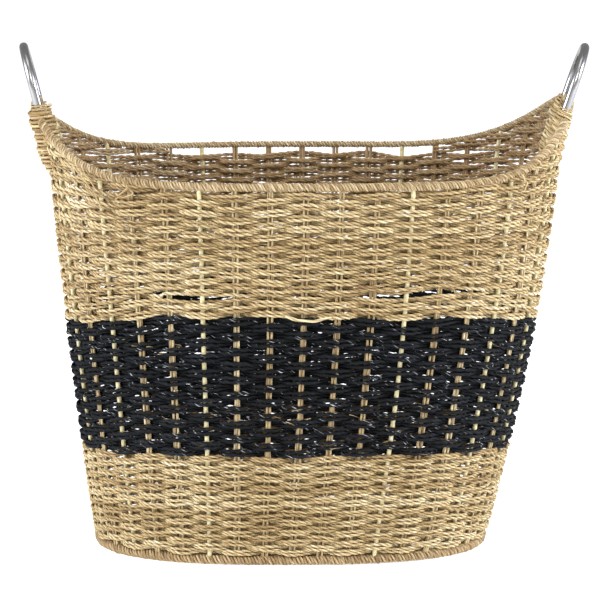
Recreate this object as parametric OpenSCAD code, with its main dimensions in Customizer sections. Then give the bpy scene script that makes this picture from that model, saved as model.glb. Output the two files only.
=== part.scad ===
// Woven market basket: a seagrass body on a wire frame, with two fixed steel handles.
// Millimetres. +Z is up, +X points at the right-hand handle and the front faces -Y.
// The origin is on the floor, under the middle of the whole basket.

/* [Body] */
// Length of the foot, from end to end outside
base_length = 355; // [300:1:430]
// Depth of the foot, from front to back outside
base_depth = 254; // [205:1:310]
// Length of the body at the rim, outside
rim_length = 459; // [380:1:550]
// Depth of the body at the rim, outside
rim_depth = 298; // [245:1:360]
// Height of the rim wire above the floor, at the front and the back
rim_height = 340; // [280:1:410]
// Outward bow of the walls at half height
wall_bow = 4.5; // [0:0.5:8]
// Squareness of the plan, where 2 is an ellipse
squareness = 2.6; // [2.2:0.1:3.4]
// Thickness of the woven wall
wall = 10; // [9.5:0.5:13]
// How far the hand-woven foot sits to the left of the rim
foot_shift = 13; // [0:1:20]

/* [Bands of weave] */
// Height of the dark band's lower edge at the front
band_low = 100; // [80:1:120]
// Height of the dark band's upper edge at the front
band_high = 225; // [190:1:250]
// How far the rows sink at the two ends, as a share of their height
end_sink = 0.09; // [0:0.01:0.15]
// Gap left between two bands
row_gap = 0.4; // [0.2:0.1:1]

/* [Ears] */
// Rise of the rim from the front to the ears
ear_rise = 57; // [40:1:70]
// Outward flare of the left ear, in degrees
left_flare = 16; // [8:0.5:20]
// Outward flare of the right ear, in degrees
right_flare = 13; // [8:0.5:20]
// Share of the half depth where the rim begins to climb
climb_start = 0.95; // [0.9:0.01:0.98]
// Share of the half depth where the rim reaches the ear's top
climb_end = 0.22; // [0.15:0.01:0.25]

/* [Frame] */
// Diameter of the rib wires
rib_wire = 4; // [3:0.5:4.5]
// Diameter of the rim and base wires
hoop_wire = 4.4; // [3.5:0.1:5]
// Diameter of the wires under the floor
floor_wire = 3; // [2.5:0.5:3.5]
// Diameter of one seagrass stake
stake = 3; // [2.5:0.5:3.4]
// Thickness of the seagrass wrapped round the wires
wrap = 2; // [1.5:0.1:2.5]
// Room between a wire and the seagrass round it
clearance = 0.4; // [0.3:0.1:0.6]
// Thickness of the woven floor
floor_thickness = 10; // [9.5:0.5:13]

/* [Handles] */
// Diameter of the steel tube
handle_tube = 8; // [6:0.5:10]
// Distance between the centres of a handle's legs
handle_gap = 73; // [62:1:84]
// Length of a handle above the ear, along its own lean
handle_reach = 55.5; // [46:0.5:66]
// Length of each leg bound into the ear
leg_depth = 58; // [45:1:60]
// Outward lean of the left handle, in degrees
left_lean = 14; // [8:0.5:20]
// Outward lean of the right handle, in degrees
right_lean = 18.5; // [8:0.5:20]
// Turn of a handle that sets its back leg outwards, in degrees
handle_twist = 3; // [0:0.5:4]
// Radius of the seagrass lashing bound round each leg
lashing_radius = 8; // [7:0.5:9]

/* [Hidden] */
WIRE_SIDES = 6;
WRAP_SIDES = 8;
$fn = 48;
// How sharply the foot's shift fades out with height, the rows sink at the ends, and the rim climbs.
SHIFT_POWER = 1.7;
SINK_POWER = 4;
CLIMB_POWER = 1.15;
// The uprights lie this much further apart at the foot than the shares of length and depth say.
FOOT_PITCH_SHARE = 1.04;
// Millimetres between a lashing and the weave beside it, and from the floor to the cross wires.
LASHING_ROOM = 3;
FLOOR_SKIN = 1.6;
// How far the channels in the floor run past their wires.
CHANNEL_RUN = 6;
// Steps of the uprights from the middle of an end to the edge of its ear.
EAR_STEPS = 4.4;
// Slope of a groove's side, in steps of the uprights.
GROOVE_SLOPE = 0.02;
// Wrapping shorter than this many steps has twice the stops.
SHORT_WRAP = 2.5;

// Forty uprights stand round the wall. Number 0 is at the middle of the front, 10 at the right
// end, 20 at the back and 30 at the left end. Ribs are wire, and the rest are pairs of stakes.
UPRIGHTS = 40;
QUARTER = UPRIGHTS / 4;
FRONT_RIBS = [-8, -6, -3, 3, 6, 8];
FRONT_STAKES = [-7, -5, -4, -2, -1, 0, 1, 2, 4, 5, 7];

rib_r = rib_wire / 2;
hoop_r = hoop_wire / 2;
stake_r = stake / 2;
handle_r = handle_tube / 2;
wrap_bore_r = hoop_r + clearance;
wrap_r = wrap_bore_r + wrap;
ear_height = rim_height + ear_rise;
wall_middle = wall / 2;
foot_top = 2 * wrap_r + clearance;
weave_top = rim_height - wrap_r - 2 * clearance;

// ---- The shape of the wall ----

function sign_of(x) = x < 0 ? -1 : 1;
function smooth(t) = let (q = min(max(t, 0), 1)) q * q * (3 - 2 * q);
function direction(v) = v / norm(v);

// A point of the plan at angle psi, on a superellipse that reaches 1 along both axes.
function plan(psi) =
    let (m = pow(pow(abs(cos(psi)), squareness) + pow(abs(sin(psi)), squareness), 1 / squareness))
    [cos(psi) / m, sin(psi) / m];

function share_up(z) = min(z / rim_height, 1);
function bow(z) = 4 * wall_bow * share_up(z) * (1 - share_up(z));
function ear_flare(side) = side < 0 ? left_flare : right_flare;
function half_length(z, side) =
    (base_length + (rim_length - base_length) * share_up(z)) / 2 + bow(z)
    + max(z - rim_height, 0) * tan(ear_flare(side));
function half_depth(z) = (base_depth + (rim_depth - base_depth) * share_up(z)) / 2 + bow(z);
function centre_x(z) = -foot_shift * pow(1 - share_up(z), SHIFT_POWER);

// The point of the body's wall at angle psi and height z, at a depth below its outer surface. Here
// x is measured from the middle of the rim.
function body_point(psi, z, depth) =
    let (
        p = plan(psi),
        a = half_length(z, p.x),
        b = half_depth(z),
        out = direction([sign_of(p.x) * pow(abs(p.x), squareness - 1) / a,
                         sign_of(p.y) * pow(abs(p.y), squareness - 1) / b])
    )
    [centre_x(z) + a * p.x - depth * out.x, b * p.y - depth * out.y, z];

// The same point in the basket's own frame, which has its middle between the two handles' tops.
function wall_point(psi, z, depth) = body_point(psi, z, depth) - [middle_x, 0, 0];

// Direction along the wall at angle psi, level with the floor.
function along_wall(psi) =
    direction(body_point(psi + 0.5, band_low, 0) - body_point(psi - 0.5, band_low, 0));

// Upright numbers are spaced evenly along the wall at the height of the dark band.
STEP = 2;
REFERENCE = [for (i = [0 : 360 / STEP])
    let (z = (band_low + band_high) / 2, p = body_point(i * STEP - 90, z, wall_middle)) [p.x, p.y]];
function lengths(points, i = 1, sum = 0, out = [0]) =
    i == len(points) ? out
    : let (s = sum + norm(points[i] - points[i - 1])) lengths(points, i + 1, s, concat(out, [s]));
ROUND = lengths(REFERENCE);
GIRTH = ROUND[len(ROUND) - 1];
ANGLES = [for (i = [0 : len(ROUND) - 1]) [ROUND[i] / GIRTH * UPRIGHTS, i * STEP - 90]];
function angle_at(k) = let (turn = floor(k / UPRIGHTS)) lookup(k - turn * UPRIGHTS, ANGLES) + 360 * turn;

// Smallest and largest distance between two uprights, at the foot and at the ears.
foot_pitch = GIRTH / UPRIGHTS * (base_length + base_depth) / (rim_length + rim_depth)
    * FOOT_PITCH_SHARE;
ear_pitch = abs(body_point(angle_at(QUARTER + 1), ear_height, wall_middle).y);

// Rows run level along the front and sink towards the ends.
function end_share(psi) = pow(abs(plan(psi).x), SINK_POWER);
function row_height(z, psi) = foot_top + (z - foot_top) * (1 - end_sink * end_share(psi));
function rim_z(psi) =
    rim_height + ear_rise
    * pow(smooth((climb_start - abs(plan(psi).y)) / (climb_start - climb_end)), CLIMB_POWER);

// How much further a height reaches through the rim where it climbs, because it is cut at a slant.
function climb(psi) =
    let (a = body_point(psi - 1, rim_z(psi - 1), 0), b = body_point(psi + 1, rim_z(psi + 1), 0))
    norm(b - a) / norm([b.x - a.x, b.y - a.y]);
function slant(psi) = sqrt(climb(psi) * climb(psi) - 1);
function under_rim(psi) = rim_z(psi) - wrap_r * climb(psi) - (2 + 3 * slant(psi)) * clearance;

// ---- Where the handles stand ----

arch_r = handle_gap / 2;
straight = handle_reach - arch_r - handle_r;

leg_steps = arch_r / ear_pitch;
leg_room = (lashing_radius + LASHING_ROOM) / ear_pitch;

function handle_lean(side) = side < 0 ? left_lean : right_lean;

// How far each handle reaches out from the middle of the rim. The back leg is set outwards, so the
// outermost point lies a little behind the top of the arch.
function handle_foot(side) =
    body_point(angle_at(side * (QUARTER - leg_steps)), ear_height, wall_middle);
function reach_out(side) =
    let (lean = handle_lean(side))
    side * handle_foot(side).x + straight * sin(lean) + handle_r
    + arch_r * norm([sin(lean), cos(lean) * sin(handle_twist)]);
middle_x = (reach_out(1) - reach_out(-1)) / 2;

function is_end_rib(k) = abs(k % (2 * QUARTER) - QUARTER) == 1;
// The ribs next to the middle of an end stand in line with the handle's legs.
function upright_place(k) =
    is_end_rib(k) ? QUARTER * round(k / QUARTER) + (k - QUARTER * round(k / QUARTER)) * leg_steps : k;
leg_foot_z = ear_height - leg_depth * cos(min(left_lean, right_lean));
end_rib_top = max(weave_top, leg_foot_z - LASHING_ROOM);

// ---- Building blocks ----

function ring_points(at, u, v, r, sides) =
    [for (j = [0 : sides - 1]) at + r * (cos(360 * j / sides) * u + sin(360 * j / sides) * v)];

// The direction of a path at point i.
function heading(path, i, closed) =
    let (n = len(path))
    direction(closed ? path[(i + 1) % n] - path[(i + n - 1) % n]
              : path[min(i + 1, n - 1)] - path[max(i - 1, 0)]);

// Rings of points round a path. side is a direction that the path never takes.
function rings(path, side, r, sides, closed) =
    [for (i = [0 : len(path) - 1])
        let (t = heading(path, i, closed), u = direction(cross(side, t)), v = cross(t, u))
        each ring_points(path[i], u, v, r, sides)];

// Quads between ring a and ring b of a stack of rings, turned to face outwards or inwards.
function band_faces(a, b, sides, outwards) =
    [for (j = [0 : sides - 1])
        let (n = (j + 1) % sides, q = [a + j, b + j, b + n, a + n])
        outwards ? q : [q[3], q[2], q[1], q[0]]];

// A round wire along a path, open or closed.
module wire(path, side, r, sides = WIRE_SIDES, closed = false) {
    n = len(path);
    last = closed ? n - 1 : n - 2;
    polyhedron(
        points = rings(path, side, r, sides, closed),
        faces = [
            for (i = [0 : last]) each band_faces(i * sides, ((i + 1) % n) * sides, sides, true),
            if (!closed) [for (j = [0 : sides - 1]) j],
            if (!closed) [for (j = [sides - 1 : -1 : 0]) (n - 1) * sides + j]
        ]);
}

// A hollow tube along an open path, for seagrass wrapped round a wire.
module sleeve(path, side, bore_r, r, sides = WRAP_SIDES) {
    n = len(path);
    inner = n * sides;
    end = (n - 1) * sides;
    polyhedron(
        points = concat(rings(path, side, r, sides, false), rings(path, side, bore_r, sides, false)),
        faces = [
            for (i = [0 : n - 2]) each band_faces(i * sides, (i + 1) * sides, sides, true),
            for (i = [0 : n - 2])
                each band_faces(inner + i * sides, inner + (i + 1) * sides, sides, false),
            each band_faces(inner, 0, sides, true),
            each band_faces(end, inner + end, sides, true)
        ]);
}

// One length of woven wall. The stations are [upright number, outer depth, inner depth], and low
// and high give the heights of its edges at an angle.
module woven_wall(stations, low, high, closed) {
    n = len(stations);
    last = closed ? n - 1 : n - 2;
    function column(i) =
        let (s = stations[i], psi = angle_at(s[0]), z0 = low(psi), z1 = high(psi))
        [wall_point(psi, z0, s[1]), wall_point(psi, z1, s[1]),
         wall_point(psi, z1, s[2]), wall_point(psi, z0, s[2])];
    polyhedron(
        points = [for (i = [0 : n - 1]) each column(i)],
        faces = [
            for (i = [0 : last])
                let (a = i * 4, b = ((i + 1) % n) * 4)
                each [for (j = [0 : 3]) let (m = (j + 1) % 4) [a + j, a + m, b + m, b + j]],
            if (!closed) [3, 2, 1, 0],
            if (!closed) [for (j = [0 : 3]) (n - 1) * 4 + j]
        ]);
}

// Even uprights stand in grooves in the wall's outer face and odd ones in its inner face, as the
// weft passes behind one and in front of the next.
function is_rib(k) = let (m = k % (2 * QUARTER)) m == 3 || m == 6 || m == 8 || m == 9 || m == 11
    || m == 12 || m == 14 || m == 17;
function half_width(k) = is_rib(k) ? rib_r : 2 * stake_r + clearance / 2;
function groove(k) =
    let (
        c = upright_place(k),
        w = (half_width(k) + clearance) / foot_pitch,
        deep = wall_middle + (is_rib(k) ? rib_r : stake_r) + clearance,
        outside = k % 2 == 0
    )
    [for (s = [[-w - GROOVE_SLOPE, 0], [-w, deep], [w, deep], [w + GROOVE_SLOPE, 0]])
        [c + s[0], outside ? s[1] : 0, outside ? wall : wall - s[1]]];
ALL_GROOVES = [for (k = [0 : UPRIGHTS - 1]) each groove(k)];

// ---- Wire frame ----

// A rib or a stake at upright number k, set sideways along the wall and rising to height top.
function upright_path(k, top, sideways = 0) =
    let (
        psi = angle_at(upright_place(k)),
        heights = [foot_top, row_height(band_low, psi), row_height(band_high, psi), weave_top,
                   if (top > weave_top + clearance) top]
    )
    [for (z = heights) wall_point(psi, z, wall_middle) + sideways * along_wall(psi)];

function rib_top(k) =
    let (psi = angle_at(upright_place(k)))
    is_end_rib(k) ? end_rib_top
    : rim_z(psi) - hoop_r * climb(psi) - rib_r * slant(psi) - 2 * clearance;

module rib(k) {
    psi = angle_at(upright_place(k));
    color([0.80, 0.78, 0.58]) wire(upright_path(k, rib_top(k)), along_wall(psi), rib_r);
}

// Pairs of stakes at a list of upright numbers, which stop under the rim's wrapping.
module stake_pairs(numbers) {
    color([0.76, 0.62, 0.40])
        for (k = numbers, side = [-1, 1]) {
            psi = angle_at(k);
            offset_mm = side * (stake_r + clearance / 4);
            top = under_rim(psi) - 2 * stake_r * slant(psi);
            wire(upright_path(k, top, offset_mm), along_wall(psi), stake_r);
        }
}

// Ends of the lengths of wrapping, which leave each rib room to reach the wire, and more where the
// rim climbs and the wrapping's ends lean over the rib.
foot_rib_room = (rib_r + 2 * clearance) / foot_pitch;
function rim_rib_room(k) =
    let (psi = angle_at(k))
    (rib_r + 2 * clearance + wrap_r * slant(psi) / climb(psi)) / ear_pitch;
function cuts(a, ribs, b) = [for (i = [0 : len(ribs)]) [
    i == 0 ? a : ribs[i - 1] + rim_rib_room(ribs[i - 1]),
    i == len(ribs) ? b : ribs[i] - rim_rib_room(ribs[i])]];
// Short lengths lie where the rim climbs, and have more stops.
function stops(piece) =
    let (long = piece[1] - piece[0], n = ceil(long < SHORT_WRAP ? 2 * long : long))
    [for (i = [0 : n]) piece[0] + (piece[1] - piece[0]) * i / n];

function turned(list, by) = [for (k = list) k + by];
FRONT = cuts(-QUARTER + leg_steps + leg_room, FRONT_RIBS, QUARTER - leg_steps - leg_room);
BACK = [for (p = FRONT) p + [2 * QUARTER, 2 * QUARTER]];
RIGHT_EAR = cuts(QUARTER - leg_steps + leg_room, [], QUARTER + leg_steps - leg_room);
LEFT_EAR = [for (p = RIGHT_EAR) p + [2 * QUARTER, 2 * QUARTER]];
HALF_BASE = [-QUARTER + leg_steps, each FRONT_RIBS, QUARTER - leg_steps];
BASE_RIBS = concat(HALF_BASE, turned(HALF_BASE, 2 * QUARTER));
BASE = [for (i = [0 : len(BASE_RIBS) - 1])
    [BASE_RIBS[i] + foot_rib_room,
     (i == len(BASE_RIBS) - 1 ? BASE_RIBS[0] + UPRIGHTS : BASE_RIBS[i + 1]) - foot_rib_room]];

function rim_path(piece) =
    [for (k = stops(piece)) let (psi = angle_at(k)) wall_point(psi, rim_z(psi), wall_middle)];
function base_path(piece) = [for (k = stops(piece)) wall_point(angle_at(k), wrap_r, wall_middle)];
UP = [0, 0, 1];

module rim_wire(pieces) {
    color([0.55, 0.52, 0.45]) wire([for (p = pieces) each rim_path(p)], UP, hoop_r);
}

module rim_wrap(pieces) {
    color([0.72, 0.60, 0.40]) for (p = pieces) sleeve(rim_path(p), UP, wrap_bore_r, wrap_r);
}

module base_wire() {
    color([0.55, 0.52, 0.45]) wire([for (p = BASE) each base_path(p)], UP, hoop_r, closed = true);
}

module base_wrap() {
    color([0.70, 0.58, 0.38]) for (p = BASE) sleeve(base_path(p), UP, wrap_bore_r, wrap_r);
}

// ---- Floor ----

floor_edge = max(wall_middle + wrap_r, wall) + clearance;
cross_wire_z = floor_wire / 2 + FLOOR_SKIN;
long_wire_z = cross_wire_z + floor_wire + clearance;
floor_outline = [for (k = [0 : UPRIGHTS * 2 - 1])
    let (p = wall_point(angle_at(k / 2), 0, floor_edge)) [p.x, p.y]];

// Wires across the floor run from rib to rib, and two lie over them along the floor.
function cross_wire_end(k) = wall_point(angle_at(k), 0, floor_edge + clearance);
module cross_wire_rod(k, r, extra = 0) {
    p = cross_wire_end(k);
    translate([p.x, -abs(p.y) - extra, cross_wire_z])
        rotate([-90, 0, 0]) cylinder(r = r, h = 2 * (abs(p.y) + extra));
}
module long_wire_rod(side, r, extra = 0) {
    p = wall_point(angle_at(QUARTER - leg_steps), 0, floor_edge + clearance);
    q = wall_point(angle_at(-QUARTER + leg_steps), 0, floor_edge + clearance);
    translate([q.x - extra, side * abs(p.y), long_wire_z])
        rotate([0, 90, 0]) cylinder(r = r, h = p.x - q.x + 2 * extra);
}

module cross_wire(k) { color([0.55, 0.52, 0.45]) cross_wire_rod(k, floor_wire / 2); }
module long_wire(side) { color([0.55, 0.52, 0.45]) long_wire_rod(side, floor_wire / 2); }

module floor_weave() {
    color([0.70, 0.56, 0.36])
        difference() {
            linear_extrude(height = floor_thickness) polygon(floor_outline);
            for (k = [-6, -3, 3, 6]) cross_wire_rod(k, floor_wire / 2 + clearance / 2, CHANNEL_RUN);
            for (side = [-1, 1]) long_wire_rod(side, floor_wire / 2 + clearance / 2, CHANNEL_RUN);
        }
}

// ---- Woven walls ----

module lower_weave() {
    color([0.78, 0.66, 0.45])
        woven_wall(ALL_GROOVES, function (psi) foot_top,
                   function (psi) row_height(band_low, psi) - row_gap / 2, true);
}

module dark_band_weave() {
    color([0.10, 0.12, 0.16])
        woven_wall(ALL_GROOVES, function (psi) row_height(band_low, psi) + row_gap / 2,
                   function (psi) row_height(band_high, psi) - row_gap / 2, true);
}

module upper_weave() {
    color([0.80, 0.68, 0.47])
        woven_wall(ALL_GROOVES, function (psi) row_height(band_high, psi) + row_gap / 2,
                   function (psi) weave_top, true);
}

// An ear is woven in three panels: one on each side of the handle and one between its legs.
function panel(a, b, numbers) = concat([[a, 0, wall]],
    [for (k = numbers) each groove(k)], [[b, 0, wall]]);
module ear_weave(centre) {
    inner = leg_steps - leg_room;
    outer = leg_steps + leg_room;
    low = function (psi) weave_top + row_gap;
    high = function (psi) under_rim(psi);
    color([0.80, 0.68, 0.47]) {
        woven_wall(panel(centre - EAR_STEPS, centre - outer, [centre - 4 : centre - 2]),
                   low, high, false);
        woven_wall(panel(centre - inner, centre + inner, [centre]), low, high, false);
        woven_wall(panel(centre + outer, centre + EAR_STEPS, [centre + 2 : centre + 4]),
                   low, high, false);
    }
}

// ---- Handles ----

// The handle's own frame: origin between the legs at the ear's top, Z along its lean.
module at_handle(side) {
    translate([handle_foot(side).x - middle_x, 0, ear_height])
        rotate([0, side * handle_lean(side), 0]) rotate([0, 0, -side * handle_twist]) children();
}

module handle(side) {
    color([0.72, 0.73, 0.75]) at_handle(side) {
        for (leg = [-1, 1])
            translate([0, leg * arch_r, -leg_depth]) cylinder(r = handle_r, h = leg_depth + straight);
        translate([0, 0, straight]) rotate([90, 0, 90])
            rotate_extrude(angle = 180) translate([arch_r, 0]) circle(r = handle_r);
    }
}

// Seagrass bound round a leg, from just under the ear's top down to the leg's end.
lashing_top = wrap_r + 1;
module lashing(side, leg) {
    color([0.66, 0.54, 0.34]) at_handle(side)
        translate([0, leg * arch_r, -leg_depth])
            difference() {
                cylinder(r = lashing_radius, h = leg_depth + lashing_top);
                translate([0, 0, -1])
                    cylinder(r = handle_r + clearance / 2, h = leg_depth + lashing_top + 2);
            }
}

rim_wire(FRONT);  // front_rim_wire
rim_wire(BACK);  // back_rim_wire
rim_wire(LEFT_EAR);  // left_ear_wire
rim_wire(RIGHT_EAR);  // right_ear_wire
base_wire();
for (i = [0 : len(FRONT_RIBS) - 1]) {
    rib(FRONT_RIBS[i] + UPRIGHTS);
    rib(FRONT_RIBS[i] + 2 * QUARTER);
}
rib(QUARTER - 1);  // right_front_rib
rib(QUARTER + 1);  // right_back_rib
rib(3 * QUARTER - 1);  // left_back_rib
rib(3 * QUARTER + 1);  // left_front_rib
cross_wire(-6);  // cross_wire_1
cross_wire(-3);  // cross_wire_2
cross_wire(3);  // cross_wire_3
cross_wire(6);  // cross_wire_4
long_wire(-1);  // front_long_wire
long_wire(1);  // back_long_wire
stake_pairs(turned(FRONT_STAKES, UPRIGHTS));  // front_stakes
stake_pairs(turned(FRONT_STAKES, 2 * QUARTER));  // back_stakes
stake_pairs([3 * QUARTER]);  // left_stakes
stake_pairs([QUARTER]);  // right_stakes
floor_weave();
lower_weave();
dark_band_weave();
upper_weave();
ear_weave(3 * QUARTER);  // left_ear_weave
ear_weave(QUARTER);  // right_ear_weave
base_wrap();
rim_wrap(FRONT);  // front_rim_wrap
rim_wrap(BACK);  // back_rim_wrap
rim_wrap(LEFT_EAR);  // left_ear_wrap
rim_wrap(RIGHT_EAR);  // right_ear_wrap
handle(-1);  // left_handle
handle(1);  // right_handle
lashing(-1, -1);  // left_front_lashing
lashing(-1, 1);  // left_back_lashing
lashing(1, -1);  // right_front_lashing
lashing(1, 1);  // right_back_lashing
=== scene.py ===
# %% [markdown]
# # A woven market basket
#
# The basket is a wire frame with seagrass woven round it: a natural wall, a dark dyed band and a
# natural wall again, with two raised ears that hold steel handles. The CAD part gives every size
# and place. This lesson loads it as a fixed frame and then lays real cords where it has smooth
# walls.

# %% Load the frame
import math

import bpy
import numpy as np
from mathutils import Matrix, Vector


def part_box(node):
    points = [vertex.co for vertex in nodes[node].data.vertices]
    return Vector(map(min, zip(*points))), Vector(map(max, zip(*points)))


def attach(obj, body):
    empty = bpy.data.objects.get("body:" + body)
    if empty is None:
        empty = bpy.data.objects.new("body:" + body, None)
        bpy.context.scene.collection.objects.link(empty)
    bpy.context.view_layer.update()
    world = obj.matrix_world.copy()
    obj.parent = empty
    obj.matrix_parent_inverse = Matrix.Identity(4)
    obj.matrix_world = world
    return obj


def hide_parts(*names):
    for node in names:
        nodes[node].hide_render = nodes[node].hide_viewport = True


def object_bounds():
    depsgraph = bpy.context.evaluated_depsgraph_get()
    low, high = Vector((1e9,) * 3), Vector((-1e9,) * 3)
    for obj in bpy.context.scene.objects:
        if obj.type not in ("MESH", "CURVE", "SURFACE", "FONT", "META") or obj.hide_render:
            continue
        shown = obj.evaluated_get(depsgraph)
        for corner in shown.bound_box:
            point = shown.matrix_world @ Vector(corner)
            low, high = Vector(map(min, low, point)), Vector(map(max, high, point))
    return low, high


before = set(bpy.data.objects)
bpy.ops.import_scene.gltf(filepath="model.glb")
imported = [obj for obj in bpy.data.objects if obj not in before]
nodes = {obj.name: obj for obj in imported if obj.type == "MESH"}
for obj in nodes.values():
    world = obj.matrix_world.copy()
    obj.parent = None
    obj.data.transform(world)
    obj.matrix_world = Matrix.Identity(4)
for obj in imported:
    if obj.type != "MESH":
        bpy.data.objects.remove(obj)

cad_low, cad_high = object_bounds()
print("frame:", len(nodes), "nodes, size", [round(v, 3) for v in cad_high - cad_low])

# %% [markdown]
# ## Camera
#
# A long lens from nearly four metres flattens the perspective, so the basket's sides stay true.
# The camera stands a little above the rim, and the inside of the back wall shows over the front.

# %% Camera
MM = 0.001
CAMERA_DISTANCE = 3.878
CAMERA_RISE = math.radians(9.62)
CAMERA_TURN = math.radians(-0.7)
LENS, SENSOR = 257.5, 36
FARTHEST = 60
AIM_SIDE = -4.0 * MM
AIM_HEIGHT = 0.4813  # share of the whole height

target = Vector((AIM_SIDE, 0, cad_high.z * AIM_HEIGHT))
back = Vector((math.sin(CAMERA_TURN) * math.cos(CAMERA_RISE),
               -math.cos(CAMERA_TURN) * math.cos(CAMERA_RISE), math.sin(CAMERA_RISE)))
lens = bpy.data.cameras.new("camera")
lens.lens, lens.sensor_width = LENS, SENSOR
lens.clip_end = FARTHEST
camera = bpy.data.objects.new("camera", lens)
bpy.context.collection.objects.link(camera)
camera.location = target + back * CAMERA_DISTANCE
camera.rotation_euler = back.to_track_quat("Z", "Y").to_euler()
bpy.context.scene.camera = camera
print("camera at", [round(v, 3) for v in camera.location])

# %% [markdown]
# ## Numbers that change over a surface
#
# A finish is a small sum of noises and masks. Written as nodes it is long, so a class lets Python's
# own operators add the Math nodes, and one method makes every other node.

# %% A class for shader maths
class Number:
    """A value on a surface. Adding, multiplying and so on make the Math nodes."""

    def __init__(self, finish, socket):
        self.finish, self.socket = finish, socket

    def maths(self, operation, a, b):
        return self.finish.node("ShaderNodeMath", {"operation": operation}, {0: a, 1: b})

    def __add__(self, other): return self.maths("ADD", self, other)
    def __radd__(self, other): return self.maths("ADD", other, self)
    def __sub__(self, other): return self.maths("SUBTRACT", self, other)
    def __rsub__(self, other): return self.maths("SUBTRACT", other, self)
    def __mul__(self, other): return self.maths("MULTIPLY", self, other)
    def __rmul__(self, other): return self.maths("MULTIPLY", other, self)


# Stretches the basket's depth to its length, so that a place points straight out of the wall.
EVEN_OUT = (1, 2.4, 0)
# How far a surface faces out where the painted shade on a cord's inner side begins, and where
# it is full.
INNER_SIDE = (0.15, -0.45)


class Finish:
    """A material, with one method that makes any node."""

    def __init__(self, name):
        self.material = bpy.data.materials.new(name)
        self.material.use_nodes = True
        self.tree = self.material.node_tree
        self.shader = self.tree.nodes["Principled BSDF"]

    def node(self, kind, settings=None, values=None, out=0):
        made = self.tree.nodes.new(kind)
        for key, value in (settings or {}).items():
            if key == "stops":
                self.stops(made.color_ramp, value)
            else:
                setattr(made, key, value)
        for key, value in (values or {}).items():
            self.feed(made.inputs[key], value)
        return Number(self, made.outputs[out])

    def stops(self, ramp, stops):
        while len(ramp.elements) < len(stops):
            ramp.elements.new(0.5)
        for element, (place, colour) in zip(ramp.elements, stops):
            element.position, element.color = place, (*colour, 1)

    def feed(self, socket, value):
        if isinstance(value, Number):
            self.tree.links.new(value.socket, socket)
        else:
            socket.default_value = value

    def set(self, **values):
        for key, value in values.items():
            self.feed(self.shader.inputs[key.replace("_", " ")], value)

    def attribute(self, name, out="Fac"):
        return self.node("ShaderNodeAttribute", {"attribute_name": name}, out=out)

    def noise(self, vector, scale, detail=2.0):
        return self.node("ShaderNodeTexNoise", None,
                         {"Vector": vector, "Scale": scale, "Detail": detail}, out="Fac")

    def spread(self, value, low, high):
        return self.node("ShaderNodeMapRange", {"clamp": True},
                         {"Value": value, "From Min": low, "From Max": high})

    def mix(self, share, a, b):
        """Sockets 0, 6 and 7 are the share and the two colours, and output 2 the mixed one."""
        return self.node("ShaderNodeMix", {"data_type": "RGBA"},
                         {0: share, 6: a, 7: b}, out=2)

    def facing_in(self):
        """1 on the side of a cord that looks into the basket, and 0 on its outer side. It says
        where the painted shade inside the basket goes.
        """
        here = self.node("ShaderNodeNewGeometry")
        level = self.node("ShaderNodeVectorMath", {"operation": "MULTIPLY"},
                          {0: here, 1: EVEN_OUT})
        out = self.node("ShaderNodeVectorMath", {"operation": "NORMALIZE"}, {0: level})
        normal = Number(self, here.socket.node.outputs["Normal"])
        facing = self.node("ShaderNodeVectorMath", {"operation": "DOT_PRODUCT"},
                           {0: out, 1: normal}, out="Value")
        return self.spread(facing, *INNER_SIDE)

    def bump(self, height, strength, distance):
        self.set(Normal=self.node("ShaderNodeBump", None, {
            "Height": height, "Strength": strength, "Distance": distance}))


# %% [markdown]
# ## Seagrass finishes
#
# Seagrass is twisted from thin flat leaves, so a cord shows long fine streaks that follow its
# twist. Each cord carries three attributes from the tree below: `along` is the distance along it,
# `ring` goes round it, and `cord` is its own number from 0 to 1. A noise read in those coordinates
# is stretched along the strand and turns with it, where a noise in space would cut across it.

# %% Streaks, patches, and painted shade and highlights
# Streaks on a strand: how many turn round it, how many lie on a metre, and where they start.
# The third kind places the painted highlights, pale glints on the dyed band.
BROAD, FINE, GLINT_STREAKS = (1.3, 55.0, 0.0), (4.5, 130.0, 7.0), (2.0, 85.0, 21.0)
# How much of the colour each kind of change makes, and which sums are the darkest and the palest.
BROAD_SHARE, FINE_SHARE, PATCH_SHARE, CORD_SHARE = 0.42, 0.40, 0.18, 0.16
SHADE_ENDS = (0.32, 0.68)
MOST_NOISE = (0.3, 0.7)  # a noise seldom leaves this range
PATCHES = 14.0
CORDS_APART = 53.0  # keeps two cords from sharing a pattern
# Painted shade: how much the groove between two plies darkens.
CREASE_SHADE_SHARE = 0.85
# How soft the edge of a painted highlight is.
GLINT_EDGE = 0.03
STREAK_DEPTH = 0.8 * MM
# Painted shade: the side of a cord that looks into the basket is darkened, as if shade fell on it.
PAINTED_INNER_SHADE = (0.66, (0.20, 0.105, 0.038))  # how far, and to what colour, a cord's inner side darkens


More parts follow.
